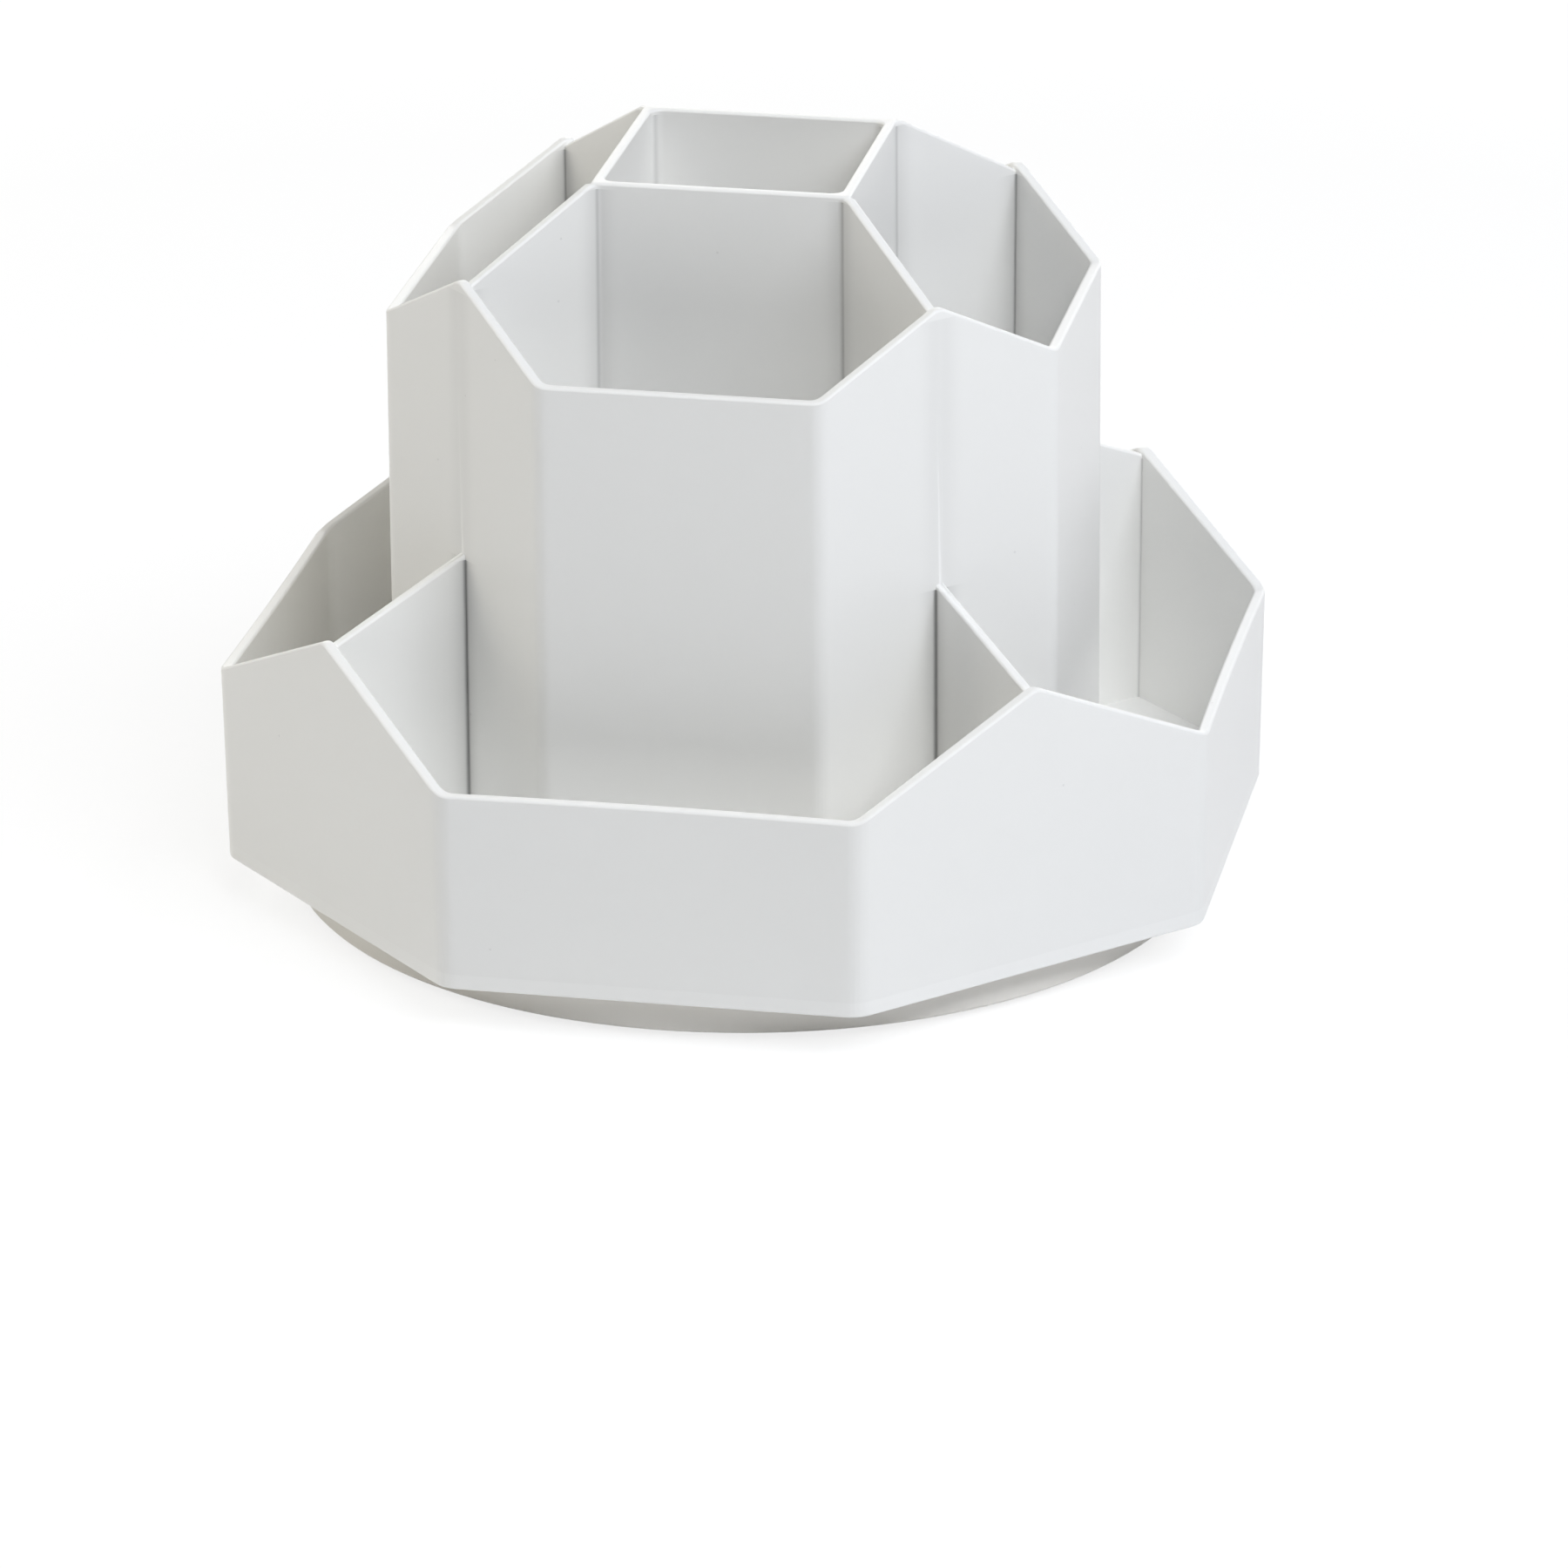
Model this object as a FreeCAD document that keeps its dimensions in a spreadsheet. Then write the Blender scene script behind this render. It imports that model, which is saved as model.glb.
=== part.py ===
import FreeCAD, Part

import os

import Sketcher
from FreeCAD import Vector

# Rotating desk organizer: an eight-sided tray around an eight-sided tower with a square
# cell at its middle, all one moulding, which spins on balls over a round base.
# Millimetres and degrees, +Z up. The desk is at zero height and the spin axis is Z.
# The straight walls face X and Y, and the diagonal walls rise to a peak at mid length.

SIZES = [
    # Tray: outer size at the rim, and heights above the tray's lower edge
    ("tray_across", 165.0),
    ("tray_wall", 1.9),
    ("tray_corner_radius", 5.5),
    ("tray_outer_draft", 0.8),
    ("tray_inner_draft", 0.2),
    ("tray_rim_height", 33.5),
    ("tray_peak_slope", 24.5),
    ("floor_height", 3.5),
    ("floor_thickness", 1.8),
    ("tray_edge_radius", 0.4),
    # Tower: outer size at the rim, and heights above the tray's lower edge
    ("tower_across", 111.2),
    ("tower_wall", 1.85),
    ("tower_corner_radius", 4.2),
    ("tower_outer_draft", 0.25),
    ("tower_inner_draft", 0.25),
    ("tower_rim_height", 93.7),
    ("tower_peak_slope", 26.7),
    # Square cell at the middle
    ("cell_across", 42.7),
    ("cell_wall", 1.7),
    ("cell_corner_radius", 2.0),
    ("cell_draft", 0.2),
    ("cell_rim_height", 117.0),
    # Dividers between neighbouring cells
    ("divider_wall", 1.7),
    ("tray_divider_drop", 1.0),
    ("tower_divider_drop", 1.2),
    ("tray_divider_height", 58.6),
    ("cell_divider_step", 0.3),
    ("cell_divider_flat", 0.5),
    # Rounding of every rim, of the peaks, and of the creases where the slopes start
    ("rim_radius", 0.5),
    ("peak_radius", 2.5),
    ("crease_radius", 4.0),
    # Round base
    ("base_across", 154.0),
    ("base_height", 7.6),
    ("base_band_wall", 1.8),
    ("base_band_draft", 2.0),
    ("base_plate", 2.0),
    ("base_top_bevel", 1.0),
    ("base_edge_bevel", 0.5),
    ("base_rib_wall", 1.6),
    ("base_rib_count", 8),
    ("base_rib_lift", 1.5),
    # Height of the tray's floor over the base's plate
    ("tray_gap", 1.0),
    # Ball race, sunk in the base's plate, and its cage
    ("race_across", 96.0),
    ("race_sink", 3.2),
    ("ball_across", 4.0),
    ("ball_count", 12),
    ("groove_gap", 0.05),
    ("race_land", 1.1),
    ("race_width", 6.4),
    ("channel_width", 10.0),
    ("channel_wall", 1.8),
    ("channel_floor", 2.4),
    ("cage_side_gap", 0.4),
    ("cage_thickness", 1.4),
    ("cage_pocket_gap", 0.08),
    # Pivot at the middle
    ("hub_across", 14.0),
    ("hub_wall", 1.6),
    ("hub_running_gap", 0.08),
    ("hub_socket_wall", 2.5),
    ("hub_socket_height", 3.8),
    ("hub_end_play", 0.2),
    ("washer_across", 22.0),
    ("washer_thickness", 1.2),
    ("washer_bore_gap", 0.2),
    ("screw_across", 3.8),
    ("screw_length", 5.6),
    ("screw_end_gap", 0.4),
    ("screw_tip_length", 1.6),
    ("screw_tip_across", 1.6),
    ("screw_hole_gap", 0.12),
    ("screw_boss_wall", 2.0),
    ("screw_head_across", 7.6),
    ("screw_head_height", 2.2),
    ("screw_head_radius", 1.1),
    ("cross_length", 4.4),
    ("cross_width", 0.9),
    ("cross_depth", 1.2),
    # Foot pads
    ("foot_circle_across", 132.0),
    ("foot_across", 10.0),
    ("foot_thickness", 2.0),
    ("foot_edge_bevel", 0.4),
    ("foot_recess_depth", 1.0),
    ("foot_recess_gap", 0.1),
    ("foot_boss_wall", 1.5),
    ("foot_count", 4),
    # How far a cut runs past what it cuts, and a piece into what it joins
    ("overrun", 2.0),
]

# Places worked out from the sizes. The octagon's corner lies at its half width times
# corner_share along the wall, and a diagonal at half width times diagonal_share.
PLACES = [
    ("corner_share", "tan(180 / 8)"),
    ("diagonal_share", "cos(360 / 8)"),
    # Tray: its foot is at zero height, and a peak stands over the middle of a diagonal wall
    ("tray_half", "Sizes.tray_across / 2"),
    ("tray_inner_half", "tray_half - Sizes.tray_wall"),
    ("tray_foot_half", "tray_half - Sizes.tray_rim_height * tan(Sizes.tray_outer_draft)"),
    ("tray_hollow_half", "tray_inner_half - Sizes.tray_rim_height * tan(Sizes.tray_inner_draft)"),
    ("tray_under_half", "tray_foot_half - Sizes.tray_wall"),
    ("tray_corner", "tray_half * corner_share"),
    ("tray_rise_share", "tan(Sizes.tray_peak_slope)"),
    ("tray_peak", "Sizes.tray_rim_height + tray_corner * tray_rise_share"),
    ("tray_block", "tray_peak + Sizes.overrun"),
    ("floor_under", "Sizes.floor_height - Sizes.floor_thickness"),
    ("floor_middle", "Sizes.floor_height - Sizes.floor_thickness / 2"),
    # Tower, whose foot is worked out at zero height too, though it starts inside the floor
    ("tower_half", "Sizes.tower_across / 2"),
    ("tower_inner_half", "tower_half - Sizes.tower_wall"),
    ("tower_foot_half", "tower_half + Sizes.tower_rim_height * tan(Sizes.tower_outer_draft)"),
    ("tower_hollow_half", "tower_inner_half - Sizes.tower_rim_height * tan(Sizes.tower_inner_draft)"),
    ("tower_corner", "tower_half * corner_share"),
    ("tower_rise_share", "tan(Sizes.tower_peak_slope)"),
    ("tower_peak", "Sizes.tower_rim_height + tower_corner * tower_rise_share"),
    ("tower_block", "tower_peak + Sizes.overrun"),
    # Square cell
    ("cell_half", "Sizes.cell_across / 2"),
    ("cell_lean", "Sizes.cell_rim_height * tan(Sizes.cell_draft)"),
    ("cell_foot_half", "cell_half + cell_lean"),
    ("cell_hollow_half", "cell_half - Sizes.cell_wall - cell_lean"),
    ("cell_corner", "cell_half / diagonal_share"),
    # Dividers, each with its ends inside the walls that it joins
    ("divider_foot", "Sizes.floor_height - Sizes.floor_thickness / 3"),
    ("tray_divider_end", "tray_peak - Sizes.tray_divider_drop"),
    ("tray_divider_run", "tray_inner_half - tower_half"),
    ("tray_divider_rise_share", "(Sizes.tray_divider_height - tray_divider_end) / tray_divider_run"),
    ("tray_divider_from", "tower_half - Sizes.tower_wall / 2"),
    ("tray_divider_to", "tray_inner_half + Sizes.tray_wall / 3"),
    ("tray_divider_from_top",
     "tray_divider_end + (tray_inner_half - tray_divider_from) * tray_divider_rise_share"),
    ("tray_divider_to_top",
     "tray_divider_end + (tray_inner_half - tray_divider_to) * tray_divider_rise_share"),
    ("tower_divider_end", "tower_peak - Sizes.tower_divider_drop"),
    ("tower_divider_start", "Sizes.cell_rim_height - Sizes.cell_divider_step"),
    ("tower_divider_knee", "cell_corner + Sizes.cell_divider_flat"),
    ("tower_divider_run", "tower_inner_half - tower_divider_knee"),
    ("tower_divider_rise_share", "(tower_divider_start - tower_divider_end) / tower_divider_run"),
    ("tower_divider_from", "cell_corner - Sizes.cell_wall"),
    ("tower_divider_to", "tower_inner_half + Sizes.tower_wall / 3"),
    ("tower_divider_to_top",
     "tower_divider_end + (tower_inner_half - tower_divider_to) * tower_divider_rise_share"),
    # The tray's lower edge and the balls' middle, first above the base's lower edge and
    # then above the desk
    ("tray_lift", "Sizes.base_height + Sizes.tray_gap - floor_under"),
    ("ball_height", "Sizes.base_height - Sizes.race_sink"),
    ("base_lift", "Sizes.foot_thickness - Sizes.foot_recess_depth"),
    ("tray_bottom", "base_lift + tray_lift"),
    ("ball_plane", "base_lift + ball_height"),
    # Ball race
    ("race_radius", "Sizes.race_across / 2"),
    ("ball_radius", "Sizes.ball_across / 2"),
    ("groove_radius", "ball_radius + Sizes.groove_gap"),
    ("channel_out", "race_radius + Sizes.channel_width / 2"),
    ("channel_in", "race_radius - Sizes.channel_width / 2"),
    ("channel_top", "ball_height - Sizes.race_land"),
    ("channel_under", "channel_top - Sizes.channel_floor"),
    ("tray_ball_height", "ball_height - tray_lift"),
    ("tray_race_low", "tray_ball_height + Sizes.race_land"),
    # Base
    ("base_half", "Sizes.base_across / 2"),
    ("base_lean", "Sizes.base_height * tan(Sizes.base_band_draft)"),
    ("base_plate_under", "Sizes.base_height - Sizes.base_plate"),
    ("base_plate_lean", "base_plate_under * tan(Sizes.base_band_draft)"),
    ("base_inner", "base_half - Sizes.base_band_wall"),
    ("socket_bore", "Sizes.hub_across / 2 + Sizes.hub_running_gap"),
    ("socket_out", "socket_bore + Sizes.hub_socket_wall"),
    ("socket_under", "Sizes.base_height - Sizes.hub_socket_height"),
    # Pivot, with heights above the tray's lower edge where its name says so
    ("hub_low", "socket_under - Sizes.hub_end_play"),
    ("tray_hub_low", "hub_low - tray_lift"),
    ("screw_hole", "Sizes.screw_across / 2 + Sizes.screw_hole_gap"),
    ("screw_boss", "screw_hole + Sizes.screw_boss_wall"),
    ("hub_core", "Sizes.hub_across / 2 - Sizes.hub_wall"),
    ("washer_low", "base_lift + hub_low - Sizes.washer_thickness"),
    ("tray_hole_top", "washer_low + Sizes.screw_length + Sizes.screw_end_gap - tray_bottom"),
    # Foot pads
    ("foot_radius", "Sizes.foot_across / 2"),
    ("foot_recess", "foot_radius + Sizes.foot_recess_gap"),
    ("foot_boss", "foot_recess + Sizes.foot_boss_wall"),
    ("foot_reach", "Sizes.foot_circle_across / 2"),
    ("foot_place", "foot_reach * diagonal_share"),
]

# How far a face may look up and still be a wall, how far one does that is a top, and how
# near two heights that are the same come
UPRIGHT = 0.1
SLOPED = 0.5
CLOSE = 0.01

doc = FreeCAD.newDocument("desk_organizer")


def fill_sheet(name, rows, mark):
    """A sheet with one named cell for each row."""
    sheet = doc.addObject("Spreadsheet::Sheet", name)
    for number, (alias, value) in enumerate(rows, start=1):
        sheet.set("A%d" % number, alias)
        sheet.set("B%d" % number, mark + str(value))
        sheet.setAlias("B%d" % number, alias)
    doc.recompute()
    return sheet


sizes = fill_sheet("Sizes", SIZES, "")
places = fill_sheet("Places", PLACES, "=")


def new_body(name):
    """A body of its own, which may hold several separate lumps."""
    body = doc.addObject("PartDesign::Body", name)
    body.Label = name
    body.AllowCompound = True
    return body


def origin_feature(body, role):
    """A plane or axis of the body's own origin."""
    return next(item for item in body.Origin.OriginFeatures if item.Role == role)


def new_sketch(body, name, role="XY_Plane", height=None):
    """A sketch on one of the body's planes, lifted to a height."""
    sketch = body.newObject("Sketcher::SketchObject", name)
    sketch.AttachmentSupport = [(origin_feature(body, role), "")]
    sketch.MapMode = "FlatFace"
    if height:
        sketch.setExpression("AttachmentOffset.Base.z", height)
    doc.recompute()
    return sketch


def value_of(expression):
    """The number that an expression gives now."""
    return float(sizes.evalExpression(expression))


def hold_point(sketch, item, end, across, up):
    """Fixes one point of the sketch at a place given by two expressions."""
    for kind, axis, expression in (("DistanceX", -2, across), ("DistanceY", -1, up)):
        value = value_of(expression)
        if value == 0:
            sketch.addConstraint(Sketcher.Constraint("PointOnObject", item, end, axis))
            continue
        if value > 0:
            index = sketch.addConstraint(Sketcher.Constraint(kind, -1, 1, item, end, value))
            sketch.setExpression("Constraints[%d]" % index, expression)
        else:
            index = sketch.addConstraint(Sketcher.Constraint(kind, item, end, -1, 1, -value))
            sketch.setExpression("Constraints[%d]" % index, "-(%s)" % expression)


def draw_polygon(sketch, corners):
    """A closed outline through the corners, each corner two expressions."""
    points = [Vector(value_of(across), value_of(up), 0) for across, up in corners]
    first = sketch.GeometryCount
    count = len(points)
    for number in range(count):
        sketch.addGeometry(Part.LineSegment(points[number], points[(number + 1) % count]))
    for number in range(count):
        after = first + (number + 1) % count
        sketch.addConstraint(Sketcher.Constraint("Coincident", first + number, 2, after, 1))
    for number, (across, up) in enumerate(corners):
        hold_point(sketch, first + number, 1, across, up)


def draw_circle(sketch, across, up, radius):
    """A circle whose centre and radius are expressions."""
    centre = Vector(value_of(across), value_of(up), 0)
    item = sketch.addGeometry(Part.Circle(centre, Vector(0, 0, 1), value_of(radius)))
    hold_point(sketch, item, 3, across, up)
    index = sketch.addConstraint(Sketcher.Constraint("Radius", item, value_of(radius)))
    sketch.setExpression("Constraints[%d]" % index, radius)


def draw_octagon(sketch, half):
    """A regular octagon with walls square to both axes, half its width given."""
    corner = "(%s) * Places.corner_share" % half
    quarter = [(half, corner), (corner, half)]
    corners = []
    for sign_x, sign_y in (("", ""), ("-", ""), ("-", "-"), ("", "-")):
        turned = quarter if sign_x == sign_y else quarter[::-1]
        corners += [("%s(%s)" % (sign_x, across), "%s(%s)" % (sign_y, up)) for across, up in turned]
    draw_polygon(sketch, corners)


def draw_rectangle(sketch, left, right, low, high):
    """A rectangle between two expressions each way."""
    draw_polygon(sketch, [(left, low), (right, low), (right, high), (left, high)])


def add_feature(body, kind, name, profile, length, symmetric=False):
    """A pad or pocket of a sketch, with an expression for its length."""
    feature = body.newObject("PartDesign::" + kind, name)
    feature.Profile = profile
    feature.setExpression("Length", length)
    if symmetric:
        feature.SideType = "Symmetric"
    # A pocket cuts against its sketch's normal unless it is reversed
    feature.Reversed = kind == "Pocket"
    doc.recompute()
    return feature


def repeat_round(body, feature, name, count, whole=False):
    """Copies of a feature, or of the whole body, evenly round the Z axis."""
    pattern = body.newObject("PartDesign::PolarPattern", name)
    if whole:
        pattern.TransformMode = "Whole shape"
    else:
        pattern.Originals = [feature]
    pattern.Axis = (origin_feature(body, "Z_Axis"), [""])
    pattern.setExpression("Occurrences", count)
    body.Tip = pattern
    doc.recompute()
    return pattern


def turn_profile(body, kind, name, sketch):
    """A full turn of a sketch about the Z axis, as added or removed material."""
    feature = body.newObject("PartDesign::" + kind, name)
    feature.Profile = sketch
    feature.ReferenceAxis = (origin_feature(body, "Z_Axis"), [""])
    doc.recompute()
    return feature


def dress_edges(body, kind, name, wanted, prop, size):
    """A fillet or chamfer on the edges of the body's last feature that pass the test."""
    base = body.Tip
    names = ["Edge%d" % number for number, edge in enumerate(base.Shape.Edges, start=1)
             if wanted(edge)]
    dressed = body.newObject("PartDesign::" + kind, name)
    dressed.Base = (base, names)
    dressed.setExpression(prop, size)
    doc.recompute()
    return dressed


def round_edges(body, name, wanted, radius):
    """A fillet on the edges that pass the test."""
    return dress_edges(body, "Fillet", name, wanted, "Radius", radius)


def bevel_edges(body, name, wanted, size):
    """A chamfer on the edges that pass the test."""
    return dress_edges(body, "Chamfer", name, wanted, "Size", size)


def lean_walls(body, name, wanted, angle, overhang=False):
    """Leans the upright faces that pass the test, about where they would meet zero height.

    They come to face up a little, or down if they overhang."""
    base = body.Tip
    names = ["Face%d" % number for number, face in enumerate(base.Shape.Faces, start=1)
             if abs(face.normalAt(0, 0).z) < UPRIGHT and wanted(face)]
    leaned = body.newObject("PartDesign::Draft", name)
    leaned.Base = (base, names)
    leaned.NeutralPlane = (origin_feature(body, "XY_Plane"), [""])
    leaned.setExpression("Angle", angle)
    leaned.Reversed = overhang
    doc.recompute()
    return leaned


def faces_out(face):
    """True for a wall's outer side, which looks away from the Z axis."""
    return face.normalAt(0, 0).dot(face.CenterOfMass) > 0


def faces_in(face):
    """True for a wall's inner side."""
    return not faces_out(face)


def middle(edge):
    """The point half way along an edge."""
    return edge.valueAt((edge.FirstParameter + edge.LastParameter) / 2)


def lies_at(edge, height):
    """True for an edge whose middle is at a height, an expression."""
    return abs(middle(edge).z - value_of(height)) < CLOSE


def is_upright(edge):
    """True for a straight edge that rises far more than it leans."""
    run = edge.Vertexes[-1].Point - edge.Vertexes[0].Point
    return Vector(run.x, run.y, 0).Length < UPRIGHT * abs(run.z)


def face_tilt(face, point):
    """How far a face looks up at a point: 1 is level and 0 is upright."""
    return face.normalAt(*face.Surface.parameter(point)).z


def face_tilts(shape, edge):
    """How far the faces on the two sides of an edge look up, the lesser one first."""
    return sorted(face_tilt(face, middle(edge)) for face in shape.ancestorsOfType(edge, Part.Face))


def is_ridge(shape, edge):
    """True where two sloping tops meet."""
    return face_tilts(shape, edge)[0] > SLOPED


def is_rim(shape, edge):
    """True where a top meets an upright wall."""
    tilts = face_tilts(shape, edge)
    return abs(tilts[0]) < UPRIGHT and tilts[1] > SLOPED


def cut_mouths(body, prefix):
    """Cuts the tops level, but to a gable over each wall that is square to the body's axes.

    The profile stands across such a wall, as far out as a corner lies along its wall."""
    rim = "Sizes.%s_rim_height" % prefix
    corner = "Places.%s_corner" % prefix
    wide = "(Places.%s_half + Sizes.overrun)" % prefix
    high = "Places.%s_block + Sizes.overrun" % prefix
    sketch = new_sketch(body, prefix + "_mouth_profile", "YZ_Plane", corner)
    draw_polygon(sketch, [
        ("-" + wide, rim),
        ("-" + corner, rim),
        ("0", "Places.%s_peak" % prefix),
        (corner, rim),
        (wide, rim),
        (wide, high),
        ("-" + wide, high),
    ])
    cut = add_feature(body, "Pocket", prefix + "_mouth", sketch, wide)
    return repeat_round(body, cut, prefix + "_mouths", "4")


def octagon_shell(prefix, foot, hollow_from, overhang=False):
    """An eight-sided wall whose straight sides are low and whose diagonal sides peak."""
    body = new_body(prefix + "_shell")
    block = "Places.%s_block" % prefix
    corner = "Sizes.%s_corner_radius" % prefix

    outline = new_sketch(body, prefix + "_outline", height=foot)
    draw_octagon(outline, "Places.%s_foot_half" % prefix)
    add_feature(body, "Pad", prefix + "_block", outline, "%s - %s" % (block, foot or "0"))
    lean_walls(body, prefix + "_outer_lean", faces_out, "Sizes.%s_outer_draft" % prefix, overhang)

    inside = new_sketch(body, prefix + "_inside", height=hollow_from)
    draw_octagon(inside, "Places.%s_hollow_half" % prefix)
    add_feature(body, "Pocket", prefix + "_hollow", inside, block)
    lean_walls(body, prefix + "_inner_lean", faces_in, "Sizes.%s_inner_draft" % prefix)

    between = value_of("(Places.%s_half - Sizes.%s_wall / 2) / cos(180 / 8)" % (prefix, prefix))
    round_edges(body, prefix + "_outer_corners",
                lambda edge: is_upright(edge) and reach(edge) > between, corner)
    round_edges(body, prefix + "_inner_corners",
                lambda edge: is_upright(edge) and reach(edge) < between,
                "%s - Sizes.%s_wall" % (corner, prefix))
    cut_mouths(body, prefix)
    round_tops(body, prefix)
    turn_eighth(body)
    return body


def turn_eighth(body):
    """Turns a body so that what it holds square to its axes stands on the diagonals."""
    body.Placement.Rotation.Axis = Vector(0, 0, 1)
    body.setExpression("Placement.Rotation.Angle", "360 / 8")
    doc.recompute()


def reach(edge):
    """How far the middle of an edge lies from the Z axis."""
    point = middle(edge)
    return Vector(point.x, point.y, 0).Length


def round_tops(body, prefix):
    """Rounds the peaks, and the creases where the slopes start at the corners."""
    halfway = value_of("(Sizes.%s_rim_height + Places.%s_peak) / 2" % (prefix, prefix))
    ridged = body.Tip.Shape
    round_edges(body, prefix + "_peaks",
                lambda edge: middle(edge).z > halfway and is_ridge(ridged, edge), "Sizes.peak_radius")
    creased = body.Tip.Shape
    round_edges(body, prefix + "_creases",
                lambda edge: middle(edge).z < halfway and is_ridge(creased, edge), "Sizes.crease_radius")


def round_mouth(body, prefix):
    """Rounds both edges of the rim, all the way round."""
    shape = body.Tip.Shape
    rim = value_of("Sizes.%s_rim_height" % prefix)
    rise = value_of("Places.%s_rise_share" % prefix)
    corner = value_of("Places.%s_corner" % prefix)
    diagonal = value_of("Places.diagonal_share")
    inner = value_of("Places.%s_inner_half" % prefix)
    outer = value_of("Places.%s_half / cos(180 / 8)" % prefix)
    near = value_of("Sizes.tray_divider_drop / 2")

    def wanted(edge):
        point = middle(edge)
        along = min(abs(point.x - point.y), abs(point.x + point.y)) * diagonal
        mouth = rim + max(0, corner - along) * rise
        return inner - near < reach(edge) < outer + near \
            and abs(point.z - mouth) < near and is_rim(shape, edge)

    round_edges(body, prefix + "_rims", wanted, "Sizes.rim_radius")


# Tray: the outer wall, the floor and the skirt below it
tray = octagon_shell("tray", None, "Sizes.floor_height", overhang=True)
below = new_sketch(tray, "tray_underside")
draw_octagon(below, "Places.tray_under_half")
add_feature(tray, "Pocket", "tray_skirt", below, "Places.floor_under")
skirt_reach = value_of("(Places.tray_foot_half - Sizes.tray_wall / 2) / cos(180 / 8)")
round_edges(tray, "tray_skirt_corners",
            lambda edge: is_upright(edge) and middle(edge).z < value_of("Places.floor_under")
            and reach(edge) < skirt_reach,
            "Sizes.tray_corner_radius - Sizes.tray_wall")
round_edges(tray, "tray_lower_edge",
            lambda edge: lies_at(edge, "0")
            and reach(edge) > value_of("Places.tray_foot_half - Sizes.tray_wall / 2"),
            "Sizes.tray_edge_radius")

# Tower: an open wall that starts inside the floor
tower = octagon_shell("tower", "Places.floor_middle", "Places.floor_middle")

# Square cell: an open wall with a level rim, which starts inside the floor
cell = new_body("cell_tube")
outline = new_sketch(cell, "cell_outline", height="Places.floor_middle")
draw_rectangle(outline, "-Places.cell_foot_half", "Places.cell_foot_half",
               "-Places.cell_foot_half", "Places.cell_foot_half")
add_feature(cell, "Pad", "cell_block", outline, "Sizes.cell_rim_height - Places.floor_middle")
lean_walls(cell, "cell_outer_lean", faces_out, "Sizes.cell_draft")
inside = new_sketch(cell, "cell_inside", height="Places.floor_middle")
draw_rectangle(inside, "-Places.cell_hollow_half", "Places.cell_hollow_half",
               "-Places.cell_hollow_half", "Places.cell_hollow_half")
add_feature(cell, "Pocket", "cell_hollow", inside, "Sizes.cell_rim_height")
lean_walls(cell, "cell_inner_lean", faces_in, "Sizes.cell_draft")
round_edges(cell, "cell_inner_corners",
            lambda edge: is_upright(edge)
            and reach(edge) < value_of("Places.cell_corner - Sizes.cell_wall"),
            "Sizes.cell_corner_radius")
squared = cell.Tip.Shape
round_edges(cell, "cell_rims",
            lambda edge: lies_at(edge, "Sizes.cell_rim_height") and is_rim(squared, edge),
            "Sizes.rim_radius")


def divider_set(name, corners):
    """Four upright plates on the diagonals, drawn side on and rounded along the top."""
    body = new_body(name)
    profile = new_sketch(body, name + "_profile", "XZ_Plane")
    draw_polygon(profile, corners)
    add_feature(body, "Pad", name + "_plate", profile, "Sizes.divider_wall", symmetric=True)
    plate = body.Tip.Shape
    round_edges(body, name + "_rims",
                lambda edge: is_rim(plate, edge)
                and abs(middle(edge).y) > value_of("Sizes.divider_wall / 4"),
                "Sizes.rim_radius")
    repeat_round(body, body.Tip, name + "_round", "4", whole=True)
    turn_eighth(body)
    return body


tray_dividers = divider_set("tray_dividers", [
    ("Places.tray_divider_from", "Places.divider_foot"),
    ("Places.tray_divider_to", "Places.divider_foot"),
    ("Places.tray_divider_to", "Places.tray_divider_to_top"),
    ("Places.tray_divider_from", "Places.tray_divider_from_top"),
])
tower_dividers = divider_set("tower_dividers", [
    ("Places.tower_divider_from", "Places.divider_foot"),
    ("Places.tower_divider_to", "Places.divider_foot"),
    ("Places.tower_divider_to", "Places.tower_divider_to_top"),
    ("Places.tower_divider_knee", "Places.tower_divider_start"),
    ("Places.tower_divider_from", "Places.tower_divider_start"),
])

# Underside: the upper half of the ball race, and the hub that the base turns on
underside = new_body("underside")
ring = new_sketch(underside, "race_ring_profile", "XZ_Plane")
draw_rectangle(ring, "Places.race_radius - Sizes.race_width / 2",
               "Places.race_radius + Sizes.race_width / 2",
               "Places.tray_race_low", "Places.floor_middle")
turn_profile(underside, "Revolution", "race_ring", ring)
path = new_sketch(underside, "race_groove_profile", "XZ_Plane")
draw_circle(path, "Places.race_radius", "Places.tray_ball_height", "Places.groove_radius")
turn_profile(underside, "Groove", "race_groove", path)
stem = new_sketch(underside, "hub_profile", "XZ_Plane")
draw_polygon(stem, [
    ("Places.screw_hole", "Places.tray_hub_low"),
    ("Places.screw_boss", "Places.tray_hub_low"),
    ("Places.screw_boss", "Places.floor_under"),
    ("Places.hub_core", "Places.floor_under"),
    ("Places.hub_core", "Places.tray_hub_low"),
    ("Sizes.hub_across / 2", "Places.tray_hub_low"),
    ("Sizes.hub_across / 2", "Places.floor_middle"),
    ("0", "Places.floor_middle"),
    ("0", "Places.tray_hole_top"),
    ("Places.screw_hole", "Places.tray_hole_top"),
])
turn_profile(underside, "Revolution", "hub", stem)

# The whole upper moulding is one piece
moulding = doc.addObject("Part::MultiFuse", "moulding")
moulding.Shapes = [tray, tower, cell, tray_dividers, tower_dividers, underside]
moulding.Refine = True
doc.recompute()
organizer = new_body("organizer_body")
organizer.BaseFeature = moulding
doc.recompute()
round_mouth(organizer, "tray")
round_mouth(organizer, "tower")
organizer.setExpression("Placement.Base.z", "Places.tray_bottom")
doc.recompute()

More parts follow.
